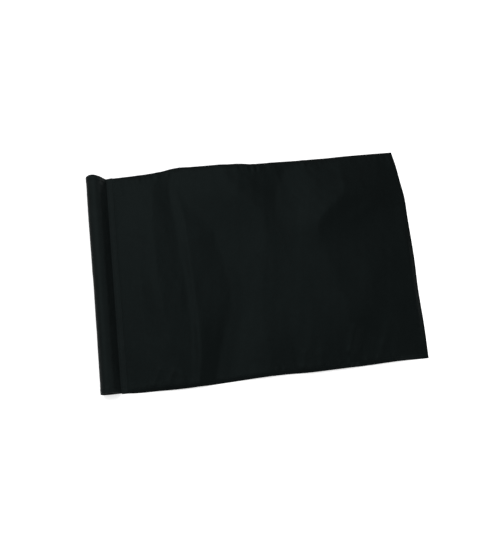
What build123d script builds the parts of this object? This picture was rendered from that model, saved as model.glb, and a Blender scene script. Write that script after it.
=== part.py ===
from build123d import *
import math
import os

# A plain cloth flag lying flat on a table, with a sleeve along its hoist edge and a rigid
# round tube inside the sleeve.
#
# Frame, in millimetres: the origin is on the tube's axis, half way along it. +Y runs along the
# tube to the flag's top edge, +X runs across the flag to its fly edge, and +Z is up.

# Flag
HOIST = 355.6  # height of the flag, 14 in
LENGTH = 508.0  # from the sleeve's outer edge to the fly edge, as it lies, 20 in

# Tube
TUBE_R = 11.1  # outside radius of a 7/8 in tube
BORE_R = 9.5  # inside radius, for a 3/4 in pole
TUBE_RECESS = 1.8  # each end of the tube stands this far inside the sleeve
TUBE_CHAMFER = 0.4

# Sleeve
SLEEVE_PLAY = 0.3  # between the tube and the sleeve
SLEEVE_CLOTH = 0.5
SLEEVE_SLOPE = 65.0  # degrees, of the cloth that comes down from the tube to the seam
SEAM_END_X = 28.0  # outer edge of the seam, where the sleeve ends
SEAM_ROWS_X = {"inner": 20.4, "outer": 25.6}
SLEEVE_END_ROW = 6.5  # from the end of the sleeve to its stitching

# Panel
HEM_WIDTH = 8.0
HEM_THICKNESS = 1.0  # three layers, turned under
PANEL_CLOTH = 0.4
PANEL_GAP = 0.3  # between the sleeve's seam and the panel, over the fold line
HEM_ROW = 6.5  # from the edge of the flag to the hem's stitching
FLY_ROWS = {"inner": 6.5, "outer": 2.5}  # from the fly edge to each row

# The panel lies in folds that run parallel to the tube. Each point is a distance from the
# tube's axis and the height of the hem's underside over the table.
FOLDS = [
    (26.0, 0.0),
    (38.0, 0.4),
    (58.0, 4.0),
    (78.0, 7.6),
    (98.0, 6.0),
    (116.0, 3.0),
    (126.0, 3.6),
    (134.0, 7.0),
    (143.0, 10.0),
    (156.0, 8.2),
    (176.0, 4.2),
    (196.0, 1.2),
    (212.0, 0.0),
]

# Thread
THREAD = 0.3  # across
GROOVE_DEPTH = 0.3  # how far the thread's tension sinks it into a hem or a seam
GROOVE_WIDTH = 0.5
RING_DEPTH = 0.24  # the same, in the sleeve's single layer
THREAD_PROUD = 0.06  # the face thread stands this far out of the cloth
THREAD_PLAY = 0.04  # between a thread and the cloth below it

SLEEVE_R = TUBE_R + SLEEVE_PLAY + SLEEVE_CLOTH
TABLE_Z = -SLEEVE_R
SEAM_TOP_Z = TABLE_Z + 2 * SLEEVE_CLOTH
FLY_X = LENGTH - SLEEVE_R
PANEL_X = SEAM_END_X + PANEL_GAP
HALF = HOIST / 2


def teardrop(radius):
    """Section of the sleeve's space: a circle that a straight side and a flat base close."""
    turn = math.radians(90 - SLEEVE_SLOPE)
    foot = (0, -radius)
    corner = (radius * math.tan(math.pi / 4 + turn / 2), -radius)
    shoulder = (radius * math.cos(turn), radius * math.sin(turn))
    outline = [
        Line(foot, corner),
        Line(corner, shoulder),
        ThreePointArc(shoulder, (-radius * math.sin(turn), radius * math.cos(turn)), foot),
    ]
    return make_face(outline)


def block(x_from, x_to, y_from, y_to, z_from, z_to):
    """A box given by its limits."""
    size = (x_to - x_from, y_to - y_from, z_to - z_from)
    centre = ((x_from + x_to) / 2, (y_from + y_to) / 2, (z_from + z_to) / 2)
    return Pos(*centre) * Box(*size)


def fold_line(height, y):
    """The folded line of the cloth across the flag, raised by height, at one y."""
    points = [Vector(x, y, TABLE_Z + rise + height) for x, rise in FOLDS]
    wave = Spline(points, tangents=[(1, 0, 0), (1, 0, 0)])
    flat = Line(points[-1], (FLY_X, y, TABLE_Z + height))
    return [wave, flat]


def cloth_band(low, high, y_from, y_to):
    """The cloth between two heights over the fold line, from one y to another."""
    lower = fold_line(low, y_from)
    upper = fold_line(high, y_from)
    ends = [Line(lower[0] @ 0, upper[0] @ 0), Line(lower[1] @ 1, upper[1] @ 1)]
    section = make_face(lower + upper + ends)
    return extrude(section, amount=y_to - y_from, dir=(0, 1, 0))


def make_tube():
    """Rigid tube, open at both ends."""
    section = Circle(TUBE_R) - Circle(BORE_R)
    tube = extrude(Plane.XZ * section, amount=HALF - TUBE_RECESS, both=True)
    rims = tube.edges().filter_by(GeomType.CIRCLE)
    return chamfer(rims, TUBE_CHAMFER)


def make_sleeve():
    """Strip of cloth round the tube, with its two layers sewn together beside it."""
    seam = Pos(SEAM_END_X / 2, (TABLE_Z + SEAM_TOP_Z) / 2) * Rectangle(SEAM_END_X, 2 * SLEEVE_CLOTH)
    section = teardrop(SLEEVE_R) + seam - teardrop(SLEEVE_R - SLEEVE_CLOTH)
    sleeve = extrude(Plane.XZ * section, amount=HALF, both=True)
    for x in SEAM_ROWS_X.values():
        sleeve -= row_block(x, GROOVE_WIDTH, SEAM_TOP_Z - GROOVE_DEPTH, SEAM_TOP_Z + 1)
        sleeve -= row_block(x, GROOVE_WIDTH, TABLE_Z - 1, TABLE_Z + GROOVE_DEPTH)
    for side in (-1, 1):
        sleeve -= sleeve_ring(side, RING_DEPTH, GROOVE_WIDTH, 1)
    return sleeve


def row_block(x, width, z_from, z_to):
    """A straight stitch row, or its groove, along the whole hoist."""
    return block(x - width / 2, x + width / 2, -HALF, HALF, z_from, z_to)


def sleeve_ring(side, depth, width, outside):
    """A stitch row, or its groove, round one end of the sleeve as far as the seam."""
    ring = teardrop(SLEEVE_R + outside) - teardrop(SLEEVE_R - depth)
    band = Plane.XZ * Pos(0, 0, -side * (HALF - SLEEVE_END_ROW)) * ring
    solid = extrude(band, amount=width / 2, both=True)
    beyond = SEAM_ROWS_X["inner"] - 3
    return solid - block(beyond, SEAM_END_X + 20, -HALF, HALF, -30, 30)


def make_panel():
    """Folded panel with a turned-under hem along its top, bottom and fly edges."""
    inner_y = HALF - HEM_WIDTH
    panel = cloth_band(0, HEM_THICKNESS, -HALF, HALF)
    hollow = cloth_band(-2, HEM_THICKNESS - PANEL_CLOTH, -inner_y, inner_y)
    panel -= hollow - block(FLY_X - HEM_WIDTH, FLY_X + 1, -HALF, HALF, -30, 30)
    for side in (-1, 1):
        row_y = side * (HALF - HEM_ROW)
        panel -= hem_row(row_y, GROOVE_WIDTH, HEM_THICKNESS - GROOVE_DEPTH, HEM_THICKNESS + 1)
        panel -= hem_row(row_y, GROOVE_WIDTH, -1, GROOVE_DEPTH)
    top_z = TABLE_Z + HEM_THICKNESS
    for offset in FLY_ROWS.values():
        panel -= row_block(FLY_X - offset, GROOVE_WIDTH, top_z - GROOVE_DEPTH, top_z + 1)
        panel -= row_block(FLY_X - offset, GROOVE_WIDTH, TABLE_Z - 1, TABLE_Z + GROOVE_DEPTH)
    return panel - block(0, PANEL_X, -HALF, HALF, -30, 30)


def hem_row(y, width, low, high):
    """A stitch row, or its groove, along a folded hem, up to the fly hem."""
    row = cloth_band(low, high, y - width / 2, y + width / 2)
    row -= block(0, PANEL_X, -HALF, HALF, -30, 30)
    return row - block(FLY_X - HEM_WIDTH, FLY_X + 1, -HALF, HALF, -30, 30)


def make_threads():
    """Face thread (needle) and back thread (bobbin) of every stitch row."""
    threads = {}
    sunk = GROOVE_DEPTH - THREAD_PLAY
    seam_low = SEAM_TOP_Z - sunk
    fly_top = TABLE_Z + HEM_THICKNESS
    for name, x in SEAM_ROWS_X.items():
        needle = row_block(x, THREAD, seam_low, SEAM_TOP_Z + THREAD_PROUD)
        threads[f"sleeve_seam_{name}_needle_thread"] = needle
        bobbin = row_block(x, THREAD, TABLE_Z, TABLE_Z + sunk)
        threads[f"sleeve_seam_{name}_bobbin_thread"] = bobbin
    for name, side in {"top": 1, "bottom": -1}.items():
        ring = sleeve_ring(side, RING_DEPTH - THREAD_PLAY, THREAD, 0)
        threads[f"sleeve_{name}_end_thread"] = ring
        y = side * (HALF - HEM_ROW)
        needle = hem_row(y, THREAD, HEM_THICKNESS - sunk, HEM_THICKNESS + THREAD_PROUD)
        threads[f"{name}_hem_needle_thread"] = needle
        threads[f"{name}_hem_bobbin_thread"] = hem_row(y, THREAD, 0, sunk)
    for name, offset in FLY_ROWS.items():
        needle = row_block(FLY_X - offset, THREAD, fly_top - sunk, fly_top + THREAD_PROUD)
        threads[f"fly_hem_{name}_needle_thread"] = needle
        bobbin = row_block(FLY_X - offset, THREAD, TABLE_Z, TABLE_Z + sunk)
        threads[f"fly_hem_{name}_bobbin_thread"] = bobbin
    return threads


parts = {"tube_insert": make_tube(), "pole_sleeve": make_sleeve(), "flag_panel": make_panel()}
parts.update(make_threads())

os.makedirs("parts", exist_ok=True)
for node, shape in parts.items():
    export_step(shape, f"parts/{node}.step")
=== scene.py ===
import math

import bpy
import numpy as np
from mathutils import Matrix, Vector


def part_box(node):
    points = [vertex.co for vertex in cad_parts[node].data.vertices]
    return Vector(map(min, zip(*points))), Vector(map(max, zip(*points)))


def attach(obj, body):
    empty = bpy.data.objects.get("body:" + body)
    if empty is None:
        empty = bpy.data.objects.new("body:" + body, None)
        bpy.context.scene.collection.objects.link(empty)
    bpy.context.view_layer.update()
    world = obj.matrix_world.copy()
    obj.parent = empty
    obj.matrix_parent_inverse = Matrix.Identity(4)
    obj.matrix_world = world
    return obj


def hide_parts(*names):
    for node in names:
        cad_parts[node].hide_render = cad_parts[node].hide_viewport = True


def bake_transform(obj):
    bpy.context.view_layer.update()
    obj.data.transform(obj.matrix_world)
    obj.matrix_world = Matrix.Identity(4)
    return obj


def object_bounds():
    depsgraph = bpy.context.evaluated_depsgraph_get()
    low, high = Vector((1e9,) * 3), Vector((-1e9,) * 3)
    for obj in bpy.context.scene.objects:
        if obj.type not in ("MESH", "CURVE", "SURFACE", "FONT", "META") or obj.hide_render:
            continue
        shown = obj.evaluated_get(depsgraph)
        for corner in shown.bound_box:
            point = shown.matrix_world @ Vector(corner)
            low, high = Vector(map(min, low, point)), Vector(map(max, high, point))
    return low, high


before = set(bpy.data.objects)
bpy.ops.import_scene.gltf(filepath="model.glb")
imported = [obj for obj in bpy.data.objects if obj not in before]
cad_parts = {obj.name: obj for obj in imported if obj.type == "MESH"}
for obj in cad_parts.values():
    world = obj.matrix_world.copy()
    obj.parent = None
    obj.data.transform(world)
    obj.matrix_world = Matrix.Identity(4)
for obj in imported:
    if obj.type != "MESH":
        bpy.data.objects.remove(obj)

CAD_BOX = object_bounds()

# ---------------------------------------------------------------------------------------------
# Sizes. Shapes are worked out in millimetres and turned into metres as each mesh is made.
# ---------------------------------------------------------------------------------------------
MM = 0.001
SLEEVE_BOX = [np.array(corner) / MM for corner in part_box("pole_sleeve")]
PANEL_BOX = [np.array(corner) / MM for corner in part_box("flag_panel")]

TABLE = SLEEVE_BOX[0][2]          # height of what the flag lies on
HALF = SLEEVE_BOX[1][1]           # half of the hoist
SEAM_END = SLEEVE_BOX[1][0]       # outer edge of the sleeve's seam
FLY = PANEL_BOX[1][0]             # fly edge
SLEEVE_R = -SLEEVE_BOX[0][0]      # outside of the round part of the sleeve

CLOTH = 0.36                      # one layer of the panel
HEM = 1.0                         # three layers, turned under
HEM_WIDTH = 8.0
HEM_FOLD = {"thinner": 0.55, "over": 5.0}    # how the hem gets thinner towards its folded edge
SLEEVE_CLOTH = 0.5
SLEEVE_LEAN = 25                  # degrees from upright, of the cloth that comes down to the seam
SEAM = 1.0                        # the whole seam: the panel between the sleeve's two layers
SEAM_LAYER = 0.3                  # the sleeve's cloth where the seam presses it flat
SEAM_ROWS = {"inner": 20.4, "outer": 25.6}   # from the tube's axis to each stitch row
HEM_ROW = 6.5                     # from an edge to its stitch row
FLY_ROWS = {"inner": 6.5, "outer": 2.5}
PANEL_START = 19.0                # the panel's hoist edge, hidden in the seam
THREAD_BED = 0.3                  # the cloth lies on its under threads

# ---------------------------------------------------------------------------------------------
# How the panel lies. Each line is a crease that runs down the flag, as points of (distance along
# the hoist from its middle, distance from the tube's axis, height before FOLD_SIZE scales it). The
# cloth is nearly straight from one line to the next, and soft creases join its slopes.
# ---------------------------------------------------------------------------------------------
SEAM_FOOT = [(-178, 29, 0.3), (178, 29, 0.3)]
FIRST_DIP = [(-178, 41, 0.4), (-128, 38, 0.8), (-98, 38, 0.9), (-28, 42, 0.7), (122, 44, 0.8),
             (178, 44, 0.4)]
FIRST_PATCH = [(-178, 62, 1.0), (-112, 62, 0.7), (-78, 60, 0.4), (-28, 60, 0.8), (22, 60, 1.5),
               (72, 60, 1.7), (122, 60, 1.4), (178, 60, 0.5)]
FIRST_CREST = [(-178, 86, 1.9), (-128, 88, 3.0), (-78, 86, 3.9), (-28, 80, 3.8), (22, 76, 3.6),
               (72, 75, 3.5), (122, 74, 2.5), (178, 74, 1.1)]
VALLEY_SHOULDER = [(-178, 112, 2.8), (-128, 108, 4.0), (-108, 100, 4.6), (-78, 96, 4.7),
                   (-28, 90, 4.5), (22, 87, 4.4), (72, 86, 4.4), (122, 90, 3.5), (150, 93, 2.6),
                   (178, 96, 1.6)]
VALLEY = [(-178, 122, 2.7), (-128, 131, 3.2), (-108, 134, 2.6), (-78, 134, 2.3), (-28, 133, 2.0),
          (22, 130, 1.8), (72, 125, 1.5), (122, 120, 0.8), (150, 120, 0.4), (178, 126, 0.2)]
RIDGE_FOOT = [(-178, 130, 3.2), (-128, 137, 3.8), (-78, 139, 3.0), (-28, 138, 2.6), (22, 136, 2.4),
              (72, 134, 2.2), (107, 130, 1.8), (122, 126, 1.5), (137, 125, 1.1), (160, 127, 0.7),
              (178, 135, 0.6)]
RIDGE = [(-178, 134, 4.2), (-128, 142, 5.0), (-78, 144, 4.2), (-28, 143, 3.7), (22, 141, 3.5),
         (72, 139, 3.3), (107, 135, 2.9), (122, 131, 2.5), (137, 130, 2.1), (160, 132, 1.8),
         (178, 140, 1.6)]
FACE_KNEE = [(-178, 138, 4.2), (-128, 146, 5.0), (-98, 147, 4.4), (-68, 150, 3.8), (-28, 158, 2.7),
             (22, 168, 1.9), (72, 162, 2.1), (107, 148, 2.1), (122, 144, 2.0), (150, 148, 2.5),
             (178, 158, 2.9)]
FACE_FOOT = [(-178, 162, 0.0), (-128, 174, 0.0), (-98, 186, 0.0), (-78, 194, 0.0), (-28, 200, 0.0),
             (22, 192, 0.2), (72, 180, 0.8), (100, 166, 1.4), (122, 155, 2.4), (150, 166, 3.8),
             (178, 182, 4.6)]
FACE_REST = [(-178, 182, 0.2), (-128, 194, 0.2), (-98, 206, 0.2), (-28, 220, 0.4), (22, 212, 0.8),
             (72, 200, 1.8), (100, 190, 3.0), (122, 178, 3.9), (150, 184, 4.9), (178, 195, 5.6)]
TOP_CREST = [(-178, 246, 3.8), (-128, 250, 3.8), (-78, 246, 2.3), (-28, 252, 2.4), (22, 262, 3.4),
             (72, 268, 5.0), (88, 264, 5.7), (100, 254, 6.2), (122, 234, 7.0), (150, 217, 7.4),
             (178, 208, 6.9)]
TOP_HOLLOW = [(-178, 290, 1.9), (-128, 288, 2.9), (-98, 286, 3.2), (-28, 284, 3.3), (22, 284, 3.9),
              (72, 284, 4.5), (88, 284, 4.4), (100, 286, 4.0), (122, 292, 2.8), (150, 304, 1.7),
              (178, 335, 0.8)]
MIDDLE_RISE = [(-178, 312, 3.2), (-128, 316, 5.0), (-100, 320, 5.3), (-28, 322, 5.2), (22, 320, 5.0),
               (72, 320, 5.8), (122, 330, 4.2), (150, 338, 2.9), (178, 365, 1.3)]
FLY_CREST = [(-178, 373, 4.2), (-128, 379, 6.7), (-98, 380, 7.7), (-28, 368, 6.9), (22, 352, 5.8),
             (47, 350, 7.2), (72, 358, 9.4), (97, 384, 10.2), (122, 403, 9.2), (142, 400, 6.5),
             (178, 406, 3.0)]
FLY_HOLLOW = [(-178, 388, 2.2), (-128, 400, 4.0), (-98, 412, 6.8), (-28, 420, 6.5), (22, 404, 4.8),
              (47, 432, 3.0), (72, 442, 3.4), (97, 452, 4.3), (122, 462, 4.4), (178, 462, 1.5)]
CORNER_RISE = [(-178, 446, 3.4), (-150, 450, 4.6), (-128, 454, 5.2), (-78, 454, 5.6), (-28, 458, 5.0),
               (22, 458, 3.6), (47, 466, 2.0), (72, 470, 2.0), (97, 474, 2.4), (178, 480, 0.8)]
FLY_DROP = [(-178, 484, 0.2), (-150, 486, 1.4), (-128, 487, 2.8), (-28, 488, 3.2), (22, 488, 2.1),
            (47, 488, 0.9), (72, 488, 0.7), (122, 488, 0.9), (178, 489, 0.4)]
FLY_END = [(-178, 497, 0.0), (178, 497, 0.0)]
FOLD_LINES = [SEAM_FOOT, FIRST_DIP, FIRST_PATCH, FIRST_CREST, VALLEY_SHOULDER, VALLEY, RIDGE_FOOT,
              RIDGE, FACE_KNEE, FACE_FOOT, FACE_REST, TOP_CREST, TOP_HOLLOW, MIDDLE_RISE, FLY_CREST,
              FLY_HOLLOW, CORNER_RISE, FLY_DROP, FLY_END]
FOLD_SIZE = 1.2                   # how far the folds stand up, against the heights above
FOLD_STEP = 0.5                   # spacing of the grid that the folds are worked out on
CREASE_SOFT = {"across": 1.6, "along": 6.0}   # how far the creases between slopes are softened
EDGE_DROOP = {"reach": 12.0, "drop": 0.5}     # how the cloth bends down to the table at its edges
OUT_OF_SEAM = {"hem": 3.0, "layer": 4.0, "folds": 14.0}   # distance over which each one comes in
HEM_PROP = 9.0                    # how far in from a hem the hem's thickness holds the cloth up

# Short creases and the small pulls that come from the stitching: two ends, width and height.
SMALL_CREASES = [((34, -148), (31, -168), 4, 0.5), ((78, -146), (68, -168), 4, 0.6),
                 ((100, -150), (90, -170), 4, 0.5), ((112, -156), (118, -172), 4, 0.4),
                 ((40, 150), (38, 168), 4, 0.5), ((64, 152), (62, 170), 5, 0.5),
                 ((29, 128), (27, 142), 4, 0.4), ((164, 158), (158, 170), 4, 0.4),
                 ((236, 140), (232, 166), 8, 0.3), ((252, 126), (250, 150), 8, 0.3),
                 ((268, 108), (264, 130), 8, 0.3), ((300, 146), (296, 166), 5, 0.4),
                 ((428, 78), (446, 92), 9, 0.5), ((404, 66), (424, 78), 9, 0.4),
                 ((300, -168), (304, -146), 5, 0.5), ((330, -166), (328, -150), 5, 0.4),
                 ((420, -168), (426, -150), 5, 0.5), ((462, -166), (470, -150), 5, 0.5),
                 ((386, -118), (375, -152), 6, 0.9), ((440, -120), (428, -146), 8, 0.5)]

# Small random waves in the cloth: (height, wavelength, seed, stretch along the hoist).
PANEL_CRUMPLE = [(0.24, 70, 3, 1.6), (0.05, 19, 4, 1.3)]
SLEEVE_WRINKLE = [(0.07, 34, 31, 2.2), (0.05, 12, 32, 1.5)]
HEM_PUCKER = 0.24                 # height of the gathers that the stitching pulls into the hems
PUCKER_MIDDLE, PUCKER_REACH = 6.0, 7.0        # where they are, in from the edge
SEAM_PUCKER = 0.07                # height of the gathers along the sleeve's seam

# How the sleeve's cloth lies on the tube.
SLEEVE_BULGE = 1.4                # how far it stands off the tube at the top left
SLEEVE_PULL = 0.2                 # height of the ripples where it comes down to the seam
SLEEVE_GAP = 0.15                 # the most that a wrinkle may sink towards the tube
SLEEVE_HEM = 0.28                 # how far the hem round each end stands out
SEAM_PRESSED = 12                 # length at each end of the section that the seam presses flat
SEAM_WANDER = 0.22                # how far the seam's edge wanders from straight

# How far the cloth's edges have crept from a true rectangle: (place along the edge, creep).
TOP_CREEP = [(28, -0.6), (60, 0.0), (92, 1.1), (110, 3.2), (130, 6.7), (160, 5.0), (185, 3.8),
             (205, 3.0), (220, 2.0), (235, 1.6), (258, -0.9), (300, -0.7), (340, -1.3), (370, -1.9),
             (400, -2.7), (450, -2.4), (496, -2.6)]
BOTTOM_CREEP = [(28, -1.2), (40, -2.2), (70, -2.9), (107, -3.9), (140, -3.5), (180, -2.0),
                (228, -0.6), (280, -0.1), (310, -1.3), (340, -1.1), (400, -0.2), (456, 1.1),
                (496, 0.8)]
FLY_CREEP = [(-178, 1.0), (-130, 3.2), (-60, 4.5), (-20, 6.8), (60, 8.4), (95, 9.2), (125, 6.6),
             (150, 4.6), (178, 0.6)]
# How far the sleeve's top rim is drawn in: (distance from the tube's axis, creep).
RIM_CREEP = [(-12, 1.4), (-5, 0.0), (0, 0.4), (8, 2.0), (14, 2.0), (20, 0.8), (28, 0.0)]


def ease(t):
    """0 to 1 with no slope at either end."""
    t = np.clip(t, 0.0, 1.0)
    return t * t * (3 - 2 * t)


def through(points, at, column=1):
    """A smooth curve through one column of points, read at places along column 0."""
    table = np.array(points, float)
    place, value = table[:, 0], table[:, column]
    slope = np.gradient(value, place)
    at = np.clip(at, place[0], place[-1])
    i = np.clip(np.searchsorted(place, at) - 1, 0, len(place) - 2)
    step = place[i + 1] - place[i]
    t = (at - place[i]) / step
    start = (2 * t**3 - 3 * t**2 + 1) * value[i] + (t**3 - 2 * t**2 + t) * step * slope[i]
    end = (3 * t**2 - 2 * t**3) * value[i + 1] + (t**3 - t**2) * step * slope[i + 1]
    return start + end


def ripple(x, y, wavelength, seed, stretch=1.0, count=14):
    """Smooth random waves of about one wavelength and unit size; stretch lengthens them in y."""
    dice = np.random.RandomState(seed)
    total = np.zeros(np.broadcast(x, y).shape)
    for _ in range(count):
        turn = dice.uniform(0, 2 * math.pi)
        size = 2 * math.pi / (wavelength * dice.uniform(0.75, 1.35))
        phase = dice.uniform(0, 2 * math.pi)
        total = total + np.cos(size * (x * math.cos(turn) + y * math.sin(turn) / stretch) + phase)
    return total * math.sqrt(2.0 / count)


def crumple(x, y, waves):
    """Several ripples added up, from a list of (height, wavelength, seed, stretch)."""
    return sum(height * ripple(x, y, length, seed, stretch)
               for height, length, seed, stretch in waves)


def edge_distance(x, y):
    """Distance to the nearest hemmed edge of the panel."""
    return np.minimum(HALF - np.abs(y), FLY - x)


def soften(grid, reach, axis):
    """A grid blurred along one axis by a bell of the given reach, in grid steps."""
    half = int(math.ceil(3 * reach))
    bell = np.exp(-0.5 * (np.arange(-half, half + 1) / reach) ** 2)
    bell /= bell.sum()
    pad = [(half, half) if i == axis else (0, 0) for i in range(2)]
    wide = np.pad(grid, pad, mode="reflect", reflect_type="odd")
    return np.apply_along_axis(lambda row: np.convolve(row, bell, "valid"), axis, wide)


def fold_grid(step):
    """Heights of the folds on a square grid over the panel: places across and along, and heights."""
    across = np.arange(SEAM_END, FLY + step, step)
    along = np.arange(-HALF, HALF + step, step)
    places = np.array([through(line, along, 1) for line in FOLD_LINES])
    heights = FOLD_SIZE * np.array([through(line, along, 2) for line in FOLD_LINES])
    rows = [np.interp(across, places[:, j], heights[:, j]) for j in range(len(along))]
    grid = soften(np.array(rows), CREASE_SOFT["across"] / step, 1)
    return across, along, soften(grid, CREASE_SOFT["along"] / step, 0)


FOLDS = fold_grid(FOLD_STEP)


def fold_height(x, y):
    """The folds alone, over the table."""
    across, along, heights = FOLDS
    step = across[1] - across[0]
    i = np.clip((x - across[0]) / step, 0, len(across) - 1.001)
    j = np.clip((y - along[0]) / step, 0, len(along) - 1.001)
    i0, j0 = i.astype(int), j.astype(int)
    u, v = i - i0, j - j0
    low = heights[j0, i0] * (1 - u) + heights[j0, i0 + 1] * u
    high = heights[j0 + 1, i0] * (1 - u) + heights[j0 + 1, i0 + 1] * u
    return low * (1 - v) + high * v


def hem_pucker(x, y):
    """Small gathers that the stitching pulls into the hems."""
    at_hem = np.exp(-((HALF - np.abs(y) - PUCKER_MIDDLE) / PUCKER_REACH) ** 2)
    at_fly = np.exp(-((FLY - x - PUCKER_MIDDLE) / PUCKER_REACH) ** 2)
    along_hem = ripple(x, 0 * y + 40 * np.sign(y), 9.0, 11) * at_hem
    along_fly = ripple(y, 0 * x, 9.5, 12) * at_fly
    loose = 0.65 + 0.35 * ripple(x, y, 90, 13)
    return HEM_PUCKER * loose * (along_hem + 0.8 * along_fly)


def small_creases(x, y):
    """Height of the short creases."""
    total = np.zeros(np.broadcast(x, y).shape)
    for start, end, width, height in SMALL_CREASES:
        run = np.array(end, float) - start
        t = np.clip(((x - start[0]) * run[0] + (y - start[1]) * run[1]) / (run @ run), 0.0, 1.0)
        away = np.hypot(x - start[0] - t * run[0], y - start[1] - t * run[1])
        total = total + height * np.exp(-((away / width) ** 2))
    return total


def above_table(height):
    """The height where it is over the table, with a soft change to nearly zero where it isn't."""
    return (height + np.sqrt(height**2 + 0.25)) / 2


def lift(x, y):
    """Height of the cloth's underside over the table."""
    edge = edge_distance(x, y)
    from_seam = x - SEAM_END
    inside = np.maximum(edge - HEM_WIDTH, 0.0)
    beside_hem = (HEM - CLOTH) * np.exp(-inside / HEM_PROP) * (inside > 0)
    beside_hem = beside_hem * ease(from_seam / OUT_OF_SEAM["hem"])
    free = ease(from_seam / OUT_OF_SEAM["folds"])
    small = crumple(x, y, PANEL_CRUMPLE) + hem_pucker(x, y) + small_creases(x, y)
    body = fold_height(x, y) + free * small
    body = body - EDGE_DROOP["drop"] * (1 - ease(edge / EDGE_DROOP["reach"]))
    on_layer = SEAM_LAYER * (1 - ease(from_seam / OUT_OF_SEAM["layer"]))
    return THREAD_BED + above_table(body) * free + beside_hem + on_layer


def thickness(x, y):
    """Cloth or hem, rounded off at the hem's fold, and one flat layer where the seam holds it."""
    edge = edge_distance(x, y)
    rounded = HEM - HEM_FOLD["thinner"] * (1 - ease(edge / HEM_FOLD["over"]))
    hem = np.where(edge < HEM_WIDTH + 0.05, rounded, CLOTH)
    from_seam = ease((x - SEAM_END) / OUT_OF_SEAM["hem"])
    return CLOTH + (hem - CLOTH) * from_seam


def panel_point(x, y, side):
    """A point of the panel: side 1 is its face, 0 its back. Returns (..., 3) in millimetres."""
    shared = 40                   # both edges' creep reaches this far past the middle
    top = ease((y + shared) / (HALF + shared))
    bottom = ease((shared - y) / (HALF + shared))
    out = ease((x - SEAM_END) / (FLY - SEAM_END) * 0.5) * 2
    z = TABLE + lift(x, y) + side * thickness(x, y)
    moved_x = x + through(FLY_CREEP, y) * out
    moved_y = y + through(TOP_CREEP, x) * top + through(BOTTOM_CREEP, x) * bottom
    return np.stack([moved_x, moved_y, z], -1)


# ---------------------------------------------------------------------------------------------
# Mesh helpers
# ---------------------------------------------------------------------------------------------
def add_mesh(name, points, faces, uvs, material):
    """A smooth-shaded object from points in millimetres, with one UV pair for each point."""
    mesh = bpy.data.meshes.new(name)
    mesh.from_pydata((np.asarray(points) * MM).tolist(), [], faces)
    layer = mesh.uv_layers.new(name="cloth")
    corners = np.zeros(len(mesh.loops), np.int32)
    mesh.loops.foreach_get("vertex_index", corners)
    layer.data.foreach_set("uv", (np.asarray(uvs)[corners] * MM).astype(np.float32).ravel())
    mesh.polygons.foreach_set("use_smooth", [True] * len(mesh.polygons))
    mesh.materials.append(material)
    piece = bpy.data.objects.new(name, mesh)
    bpy.context.scene.collection.objects.link(piece)
    return piece


def grid_faces(rows, columns, first, turned):
    """Quads of a rows x columns grid of points that starts at index first."""
    i = np.arange(rows - 1)[:, None] * columns + np.arange(columns - 1)[None, :] + first
    quads = np.stack([i, i + 1, i + columns + 1, i + columns], -1).reshape(-1, 4)
    return (quads[:, ::-1] if turned else quads).tolist()


def shell(name, outer, inner, uv, material, bulge=0.3):
    """A closed sheet between two grids of points, with a rounded rim."""
    rows, columns = outer.shape[:2]
    count = rows * columns
    index = np.arange(count).reshape(rows, columns)
    ring = np.concatenate([index[0, :-1], index[:-1, -1], index[-1, :0:-1], index[:0:-1, 0]])
    inward = np.concatenate([index[1, :-1], index[:-1, -2], index[-2, :0:-1], index[:0:-1, 1]])
    flat_outer, flat_inner = outer.reshape(-1, 3), inner.reshape(-1, 3)
    middle = (flat_outer[ring] + flat_inner[ring]) / 2
    away = flat_outer[ring] - flat_outer[inward]
    away /= np.maximum(np.linalg.norm(away, axis=1), 1e-6)[:, None]
    depth = np.linalg.norm(flat_outer[ring] - flat_inner[ring], axis=1)[:, None]
    rim = middle + away * depth * bulge
    points = np.concatenate([flat_outer, flat_inner, rim])
    faces = grid_faces(rows, columns, 0, False) + grid_faces(rows, columns, count, True)
    after = np.roll(ring, -1)
    rim_index = np.arange(len(ring)) + 2 * count
    rim_after = np.roll(rim_index, -1)
    faces += np.stack([after, ring, rim_index, rim_after], -1).tolist()
    faces += np.stack([rim_after, rim_index, ring + count, after + count], -1).tolist()
    flat_uv = uv.reshape(-1, 2)
    return add_mesh(name, points, faces, np.concatenate([flat_uv, flat_uv, flat_uv[ring]]), material)


def tube(name, path, normal, radius, material, sides=6):
    """A closed round thread along a path, with the surface's normal at each of its points."""
    tangent = np.gradient(path, axis=0)
    tangent /= np.linalg.norm(tangent, axis=1)[:, None]
    across = np.cross(tangent, normal)
    across /= np.linalg.norm(across, axis=1)[:, None]
    up = np.cross(across, tangent)
    turn = np.arange(sides) * 2 * math.pi / sides
    ring = np.cos(turn)[None, :, None] * across[:, None] + np.sin(turn)[None, :, None] * up[:, None]
    points = (path[:, None] + radius * ring).reshape(-1, 3)
    count = len(path)
    i = np.arange(count - 1)[:, None] * sides
    j = np.arange(sides)[None, :]
    k = (j + 1) % sides
    faces = np.stack([i + k, i + j, i + sides + j, i + sides + k], -1).reshape(-1, 4).tolist()
    faces.append(list(range(sides)))
    faces.append(list(range(count * sides - 1, (count - 1) * sides - 1, -1)))
    length = np.concatenate([[0], np.cumsum(np.linalg.norm(np.diff(path, axis=0), axis=1))])
    uv = np.stack(np.broadcast_arrays(length[:, None], radius * turn[None, :]), -1).reshape(-1, 2)
    return add_mesh(name, points, faces, uv, material)


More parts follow.
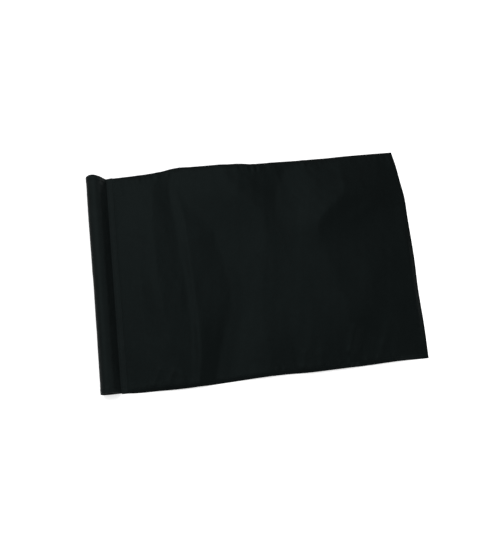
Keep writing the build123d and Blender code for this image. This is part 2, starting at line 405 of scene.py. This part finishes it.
# ---------------------------------------------------------------------------------------------
# Materials. Texture sizes are in metres, and noise scales are waves per metre.
# ---------------------------------------------------------------------------------------------
WEAVE_PITCH = 0.00042             # from one thread of the cloth to the next
WEAVE_DEPTH = 0.00003
CRINKLE_DEPTH = 0.00022
TWIST_DEPTH = 0.00004
TWIST = (7000.0, 6300.0)          # radians per metre, along the thread and round it
COOL_TINT = (0.74, 1.0, 1.0, 1.0)             # colour of what the cloth and the thread reflect


class Nodes:
    """Short names for building a material's nodes."""

    def __init__(self, name):
        self.material = bpy.data.materials.new(name)
        self.material.use_nodes = True
        self.tree = self.material.node_tree
        self.shader = self.tree.nodes["Principled BSDF"]

    def add(self, kind, settings=None, **inputs):
        node = self.tree.nodes.new(kind)
        for key, value in (settings or {}).items():
            setattr(node, key, value)
        for key, value in inputs.items():
            self.put(node.inputs[key.replace("_", " ")], value)
        return node

    def put(self, socket, value):
        if isinstance(value, bpy.types.NodeSocket):
            self.tree.links.new(value, socket)
        else:
            socket.default_value = value

    def math(self, operation, *values):
        node = self.tree.nodes.new("ShaderNodeMath")
        node.operation = operation
        for socket, value in zip(node.inputs, values):
            self.put(socket, value)
        return node.outputs[0]

    def total(self, *parts):
        """The parts added up, each of them a value with its weight."""
        scaled = [self.math("MULTIPLY", value, weight) for value, weight in parts]
        total = scaled[0]
        for part in scaled[1:]:
            total = self.math("ADD", total, part)
        return total

    def noise(self, vector, scale, detail=2.0, roughness=0.5):
        node = self.add("ShaderNodeTexNoise", Vector=vector, Scale=scale, Detail=detail,
                        Roughness=roughness)
        return node.outputs["Fac"]

    def ramp(self, factor, low, high, colours):
        node = self.tree.nodes.new("ShaderNodeValToRGB")
        for element, place, colour in zip(node.color_ramp.elements, (low, high), colours):
            element.position = place
            element.color = (*colour, 1.0)
        self.put(node.inputs["Fac"], factor)
        return node.outputs["Color"]

    def surface(self, colour, rough, specular, height):
        """Sets the shader's colour, roughness, strength of reflection and height in metres."""
        self.put(self.shader.inputs["Base Color"], colour)
        self.put(self.shader.inputs["Roughness"], rough)
        self.shader.inputs["Specular IOR Level"].default_value = specular
        bump = self.add("ShaderNodeBump", Height=height, Strength=1.0, Distance=1.0)
        self.put(self.shader.inputs["Normal"], bump.outputs["Normal"])
        return self.material


def weave_height(nodes, uv, pitch):
    """Plain weave: threads across and along that pass over each other in turn."""
    split = nodes.add("ShaderNodeSeparateXYZ", Vector=uv)
    waves = []
    for axis in ("X", "Y"):
        turns = nodes.math("MULTIPLY", split.outputs[axis], math.pi / pitch)
        waves.append(nodes.math("SINE", turns))
    over = nodes.math("MULTIPLY", waves[0], waves[1])
    across = nodes.math("ABSOLUTE", waves[0])
    along = nodes.math("ABSOLUTE", waves[1])
    which = nodes.math("GREATER_THAN", over, 0.0)
    first = nodes.math("MULTIPLY", across, which)
    second = nodes.math("MULTIPLY", along, nodes.math("SUBTRACT", 1.0, which))
    return nodes.math("ADD", first, second)


def nylon(name, dark, light, specular, rough):
    """Black plain-weave nylon: a dull dyed cloth with a soft reflection."""
    nodes = Nodes(name)
    uv = nodes.add("ShaderNodeUVMap", {"uv_map": "cloth"}).outputs["UV"]
    weave = weave_height(nodes, uv, WEAVE_PITCH)
    slub = nodes.noise(uv, 900.0, 3.0)
    patch = nodes.noise(uv, 26.0, 4.0, 0.6)
    crinkle = nodes.noise(uv, 160.0, 3.0, 0.55)
    shade = nodes.total((patch, 0.6), (slub, 0.25), (weave, 0.15))
    colour = nodes.ramp(shade, 0.3, 0.75, (dark, light))
    roughness = nodes.math("ADD", rough, nodes.math("MULTIPLY", slub, 0.14))
    height = nodes.total((weave, WEAVE_DEPTH), (crinkle, CRINKLE_DEPTH))
    nodes.shader.inputs["Specular Tint"].default_value = COOL_TINT
    return nodes.surface(colour, roughness, specular, height)


def thread_material(dark, light):
    """Black polyester thread with its twist."""
    nodes = Nodes("sewing_thread")
    uv = nodes.add("ShaderNodeUVMap", {"uv_map": "cloth"}).outputs["UV"]
    split = nodes.add("ShaderNodeSeparateXYZ", Vector=uv)
    lay = nodes.total((split.outputs["X"], TWIST[0]), (split.outputs["Y"], TWIST[1]))
    twist = nodes.math("ABSOLUTE", nodes.math("SINE", lay))
    colour = nodes.ramp(twist, 0.1, 0.9, (dark, light))
    roughness = nodes.math("SUBTRACT", 0.62, nodes.math("MULTIPLY", twist, 0.16))
    nodes.shader.inputs["Specular Tint"].default_value = COOL_TINT
    return nodes.surface(colour, roughness, 0.08, nodes.total((twist, TWIST_DEPTH)))


def tube_material(dark, light):
    """Extruded black plastic: matte, with faint lines along its length."""
    nodes = Nodes("tube_plastic")
    place = nodes.add("ShaderNodeTexCoord").outputs["Object"]
    lines = nodes.add("ShaderNodeMapping", Vector=place, Scale=(900.0, 14.0, 900.0)).outputs[0]
    drawn = nodes.noise(lines, 1.0, 3.0)
    grain = nodes.noise(place, 2600.0, 2.0)
    colour = nodes.ramp(drawn, 0.3, 0.75, (dark, light))
    roughness = nodes.math("ADD", 0.48, nodes.math("MULTIPLY", grain, 0.2))
    height = nodes.total((drawn, 0.00003), (grain, 0.00002))
    return nodes.surface(colour, roughness, 0.2, height)


PANEL_NYLON = nylon("black_nylon", (0.0010, 0.0014, 0.0014), (0.0017, 0.0024, 0.0024),
                    specular=0.061, rough=0.39)
# The sleeve's copy of the nylon is painted about four times lighter than the panel's. This is painted
# light that lifts the shaded side of the sleeve, where its cloth comes down to the seam.
SLEEVE_NYLON_PAINTED_LIGHT = nylon("black_nylon_sleeve_painted_light", (0.0041, 0.0054, 0.0054), (0.0059, 0.0078, 0.0078),
                     specular=0.045, rough=0.42)
THREAD = thread_material((0.0030, 0.0042, 0.0044), (0.0075, 0.0095, 0.0098))
PLASTIC = tube_material((0.007, 0.008, 0.0085), (0.011, 0.0125, 0.013))


# ---------------------------------------------------------------------------------------------
# Panel
# ---------------------------------------------------------------------------------------------
# Distances in from a hemmed edge at which a grid line lies, and the spacing of the other lines.
HEM_LINES = np.array([0.0, 0.5, 1.6, 2.8, 4.0, 5.2, 6.6, 8.0, 8.25, 9.6, 11.0, 12.6, 14.4])
GRID = {"panel_across": 1.9, "panel_along": 2.2, "sleeve_along": 2.1}
SLEEVE_LINES = 112                # grid lines round the sleeve's section


def panel_lines(low, high, hem_low, hem_high, spacing):
    """Grid lines from low to high, closer over the hems, with a pair at each hem's inner edge."""
    start = low + (HEM_LINES if hem_low else np.array([0.0]))
    end = high - (HEM_LINES if hem_high else np.array([0.0]))[::-1]
    count = int(round((end[0] - start[-1]) / spacing))
    return np.concatenate([start, np.linspace(start[-1], end[0], count + 1)[1:-1], end])


def make_panel():
    """One closed sheet from the edge in the seam to the fly edge."""
    xs = panel_lines(PANEL_START, FLY, False, True, GRID["panel_across"])
    ys = panel_lines(-HALF, HALF, True, True, GRID["panel_along"])
    x, y = np.meshgrid(xs, ys)
    uv = np.stack([x, y], -1)
    return shell("panel", panel_point(x, y, 1), panel_point(x, y, 0), uv, PANEL_NYLON)


# ---------------------------------------------------------------------------------------------
# Sleeve
# ---------------------------------------------------------------------------------------------
def sleeve_path():
    """Middle line of the sleeve's cloth, from the seam's face edge over the tube to its back."""
    middle_r = SLEEVE_R - SLEEVE_CLOTH / 2
    turn = math.radians(SLEEVE_LEAN)
    top_z = TABLE + THREAD_BED + SEAM - SEAM_LAYER / 2
    foot_x = (middle_r - top_z * math.sin(turn)) / math.cos(turn)
    angles = np.linspace(turn, math.pi * 1.5, 160)
    around = np.stack([middle_r * np.cos(angles), middle_r * np.sin(angles)], -1)
    start = np.array([[SEAM_END, top_z], [foot_x, top_z]])
    end = np.array([[PANEL_START, -middle_r], [SEAM_END, TABLE + THREAD_BED + SEAM_LAYER / 2]])
    corners = np.concatenate([start, around, end])
    length = np.concatenate([[0], np.cumsum(np.linalg.norm(np.diff(corners, axis=0), axis=1))])
    fine = np.linspace(0, length[-1], 900)
    path = np.stack([np.interp(fine, length, corners[:, i]) for i in (0, 1)], -1)
    window = 15                   # points over which the section's corners are rounded off
    kernel = np.hanning(window + 2)[1:-1]
    kernel /= kernel.sum()
    before, after = (end_point.repeat(window // 2, 0) for end_point in (path[:1], path[-1:]))
    padded = np.concatenate([before, path, after])
    soft = np.stack([np.convolve(padded[:, i], kernel, "valid") for i in (0, 1)], -1)
    return fine, soft


PATH_LENGTH, PATH = sleeve_path()


def seam_pucker(y):
    """Gathers along the sleeve's seam."""
    return ripple(y, 0 * y, 11.0, 21) * (0.7 + 0.3 * ripple(y, 0 * y, 60, 22))


def sleeve_point(a, y, side):
    """A point of the sleeve at length a along its section: side 1 is outside, 0 inside."""
    middle = np.stack([np.interp(a, PATH_LENGTH, PATH[:, i]) for i in (0, 1)], -1)
    slope = np.stack([np.gradient(PATH[:, i], PATH_LENGTH) for i in (0, 1)], -1)
    tangent = np.stack([np.interp(a, PATH_LENGTH, slope[:, i]) for i in (0, 1)], -1)
    tangent /= np.linalg.norm(tangent, axis=-1)[..., None]
    outward = np.stack([tangent[..., 1], -tangent[..., 0]], -1)
    across, height = middle[..., 0], middle[..., 1]

    from_end = PATH_LENGTH[-1] / 2 - np.abs(a - PATH_LENGTH[-1] / 2)
    in_seam = 1 - ease((from_end - SEAM_PRESSED) / 3.0)
    thick = SLEEVE_CLOTH + (SEAM_LAYER - SLEEVE_CLOTH) * in_seam

    off_table = ease((height - TABLE - 1.2) / 5.0)
    slack = ease((across - 4.0) / 8.0) * off_table
    wrinkle = crumple(a, y, SLEEVE_WRINKLE)
    pull = SLEEVE_PULL * slack * ripple(a, y, 17, 33)
    end_hem = SLEEVE_HEM * ease((HEM_WIDTH + 0.8 - (HALF - np.abs(y))) / 1.2)
    loose = SLEEVE_BULGE * ease((y + 50) / 190) * ease((-across - 3.0) / 7.0)
    out = off_table * (np.maximum(wrinkle + pull, -SLEEVE_GAP) + loose + end_hem * side)
    offset = (side - 0.5) * thick + out

    over_seam = ease((across - 17.0) / 6.0) * (height > TABLE + 0.5)
    pressed = SEAM_PUCKER * seam_pucker(y) * over_seam
    x = across + outward[..., 0] * offset
    z = height + outward[..., 1] * offset + pressed
    edge = SEAM_WANDER * ripple(y, 0 * y, 26, 34) * ease((across - 22.0) / 6.0)
    drawn_in = through(RIM_CREEP, x) * ease((y - 150) / 28)
    return np.stack([x + edge, y - drawn_in, z], -1)


def make_sleeve():
    """One closed strip folded over the tube. Its UVs lie clear of the panel's."""
    a_values = np.linspace(PATH_LENGTH[-1], 0, SLEEVE_LINES)
    ys = panel_lines(-HALF, HALF, True, True, GRID["sleeve_along"])
    a, y = np.meshgrid(a_values, ys)
    uv = np.stack([a + 600.0, y], -1)
    return shell("sleeve", sleeve_point(a, y, 1), sleeve_point(a, y, 0), uv, SLEEVE_NYLON_PAINTED_LIGHT)


# ---------------------------------------------------------------------------------------------
# Stitching
# ---------------------------------------------------------------------------------------------
STITCH = 2.9
STITCH_POINTS = 8                 # points along the thread for each stitch
THREAD_R = 0.16
RISE, DIP = 0.85, 2.6             # in thread radii: up from the cloth, and down at a hole
HOLE = 0.09                       # width of the dip at a hole, in stitches
HEM_ROW_START = 1.0               # from the seam's edge to the start of a long hem's row
END_ROW_START = 11.5              # from the seam's edge to the start of an end row
PROBE = 0.2                       # how far apart the points are that give a row its directions


def stitch_row(name, place, length):
    """One thread of a lockstitch row. place(s, shift) gives points at lengths s along the row."""
    stitches = int(round(length / STITCH))
    s = np.linspace(0, length, stitches * STITCH_POINTS + 1)
    phase = s / length * stitches % 1.0
    from_hole = np.minimum(phase, 1 - phase)
    rise = THREAD_R * (RISE - DIP * np.exp(-((from_hole / HOLE) ** 2)))
    forward = place(s + PROBE, 0.0) - place(s - PROBE, 0.0)
    beside = place(s, PROBE) - place(s, -PROBE)
    outward = np.cross(forward, beside)
    outward /= np.linalg.norm(outward, axis=1)[:, None]
    path = place(s, 0.0) + outward * rise[:, None]
    path[:, 2] = np.maximum(path[:, 2], TABLE + THREAD_R)
    return tube(name, path, outward, THREAD_R, THREAD)


def along_hem(end, side):
    """Places on the hem's stitch row at the top (end 1) or bottom (end -1) of the panel."""
    def place(s, shift):
        turn = 1 if side else -1
        y = 0 * s + end * (HALF - HEM_ROW) + turn * shift
        return panel_point(SEAM_END + HEM_ROW_START + s, y, side)
    return place


def along_fly(offset, side):
    """Places on a stitch row that runs down the fly hem."""
    def place(s, shift):
        turn = -1 if side else 1
        x = 0 * s + FLY - offset + turn * shift
        return panel_point(x, np.clip(s - HALF, -HALF, HALF), side)
    return place


def along_seam(x, side):
    """Places on a stitch row of the sleeve's seam, on its face (side 1) or its back (side 0)."""
    def place(s, shift):
        a = SEAM_END - x if side else PATH_LENGTH[-1] - (SEAM_END - x)
        return sleeve_point(0 * s + a + shift, np.clip(s - HALF, -HALF, HALF), 1)
    return place


def round_end(end):
    """Places on the stitch row round an end of the sleeve."""
    def place(s, shift):
        return sleeve_point(s + END_ROW_START, 0 * s + end * (HALF - HEM_ROW) - shift, 1)
    return place


def make_stitching():
    """Every stitch row with the CAD node that it stands for and what it moves with."""
    rows = []
    long_hem = FLY - HEM_WIDTH - SEAM_END - HEM_ROW_START
    around = PATH_LENGTH[-1] - 2 * END_ROW_START
    sides = ((1, "needle"), (0, "bobbin"))
    for end, word in ((1, "top"), (-1, "bottom")):
        for side, thread in sides:
            row = stitch_row(f"{word}_hem_{thread}_stitches", along_hem(end, side), long_hem)
            rows.append((row, f"{word}_hem_{thread}_thread", "both"))
        row = stitch_row(f"sleeve_{word}_end_stitches", round_end(end), around)
        rows.append((row, f"sleeve_{word}_end_thread", "sleeve"))
    for word in ("inner", "outer"):
        for side, thread in sides:
            fly_hem, seam = f"fly_hem_{word}_{thread}", f"sleeve_seam_{word}_{thread}"
            row = stitch_row(f"{fly_hem}_stitches", along_fly(FLY_ROWS[word], side), 2 * HALF)
            rows.append((row, f"{fly_hem}_thread", "panel"))
            row = stitch_row(f"{seam}_stitches", along_seam(SEAM_ROWS[word], side), 2 * HALF)
            rows.append((row, f"{seam}_thread", "sleeve"))
    return rows


# ---------------------------------------------------------------------------------------------
# Floor, light and camera, in metres
# ---------------------------------------------------------------------------------------------
FLOOR_HALF = 40
FLOOR_GAP = 0.00015               # between the CAD's underside and the table
FLOOR_GLOW = 0.4                  # keeps the table white under soft light
WORLD_STRENGTH = 0.56
LIGHT_AIM = (0.24, 0.0, 0.0)
CAMERA_OFFSET = (-0.0069, -0.0121)            # from the flag's middle to where the camera aims
CAMERA_ELEVATION, CAMERA_AZIMUTH, CAMERA_ROLL = 73.9, -12.0, 5.5
CAMERA_DISTANCE = 1.241
CAMERA_LENS, SENSOR_WIDTH = 50.7, 36.0


def make_floor():
    """A white table that gives off a little light of its own."""
    mesh = bpy.data.meshes.new("floor")
    z = TABLE * MM - FLOOR_GAP
    corners = [(x * FLOOR_HALF, y * FLOOR_HALF, z) for x, y in ((-1, -1), (1, -1), (1, 1), (-1, 1))]
    mesh.from_pydata(corners, [], [(0, 1, 2, 3)])
    floor = bpy.data.objects.new("floor", mesh)
    bpy.context.scene.collection.objects.link(floor)
    paint = bpy.data.materials.new("floor")
    paint.use_nodes = True
    shader = paint.node_tree.nodes["Principled BSDF"]
    shader.inputs["Base Color"].default_value = (0.93, 0.93, 0.93, 1)
    shader.inputs["Roughness"].default_value = 0.9
    shader.inputs["Specular IOR Level"].default_value = 0.0
    shader.inputs["Emission Color"].default_value = (1, 1, 1, 1)
    shader.inputs["Emission Strength"].default_value = FLOOR_GLOW
    mesh.materials.append(paint)


def make_area_light(name, place, size, power):
    """A square soft light that faces the flag."""
    light = bpy.data.lights.new(name, "AREA")
    light.shape = "SQUARE"
    light.size = size
    light.energy = power
    lamp = bpy.data.objects.new(name, light)
    bpy.context.scene.collection.objects.link(lamp)
    lamp.location = place
    lamp.rotation_mode = "QUATERNION"
    lamp.rotation_quaternion = (Vector(LIGHT_AIM) - Vector(place)).to_track_quat("-Z", "Y")


def make_world(strength):
    """Even white light from all round."""
    world = bpy.data.worlds.new("studio")
    world.use_nodes = True
    background = world.node_tree.nodes["Background"]
    background.inputs["Color"].default_value = (1, 1, 1, 1)
    background.inputs["Strength"].default_value = strength
    bpy.context.scene.world = world


def make_camera():
    """Looks down on the flag from its lower left, a little turned."""
    low, high = CAD_BOX
    middle = (low + high) / 2
    aim = Vector((middle.x + CAMERA_OFFSET[0], middle.y + CAMERA_OFFSET[1], low.z))
    elevation, azimuth = math.radians(CAMERA_ELEVATION), math.radians(CAMERA_AZIMUTH)
    back = Vector((math.sin(azimuth) * math.cos(elevation),
                   -math.cos(azimuth) * math.cos(elevation), math.sin(elevation)))
    right = Vector((0, 0, 1)).cross(back).normalized()
    up = back.cross(right)
    data = bpy.data.cameras.new("camera")
    data.lens = CAMERA_LENS
    data.sensor_width = SENSOR_WIDTH
    data.clip_start = 0.02
    camera = bpy.data.objects.new("camera", data)
    bpy.context.scene.collection.objects.link(camera)
    axes = Matrix((right, up, back)).transposed().to_4x4()
    roll = Matrix.Rotation(math.radians(CAMERA_ROLL), 4, "Z")
    camera.matrix_world = Matrix.Translation(aim + back * CAMERA_DISTANCE) @ axes @ roll
    bpy.context.scene.camera = camera


make_camera()
make_floor()
make_world(WORLD_STRENGTH)
make_area_light("key", (-1.1, 2.2, 4.9), size=2.4, power=135.0)
make_area_light("fill", (1.9, -1.0, 1.2), size=1.2, power=15.0)
bpy.context.scene.view_settings.view_transform = "Standard"
bpy.context.scene.view_settings.look = "None"

panel = make_panel()
sleeve = make_sleeve()

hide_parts("pole_sleeve")
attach(sleeve, "sleeve")
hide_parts("flag_panel")
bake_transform(panel)
for piece, node, body in make_stitching():
    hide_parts(node)
    if body == "both":
        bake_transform(piece)
    else:
        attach(piece, body)

tube_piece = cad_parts["tube_insert"]
tube_piece.data.materials.clear()
tube_piece.data.materials.append(PLASTIC)
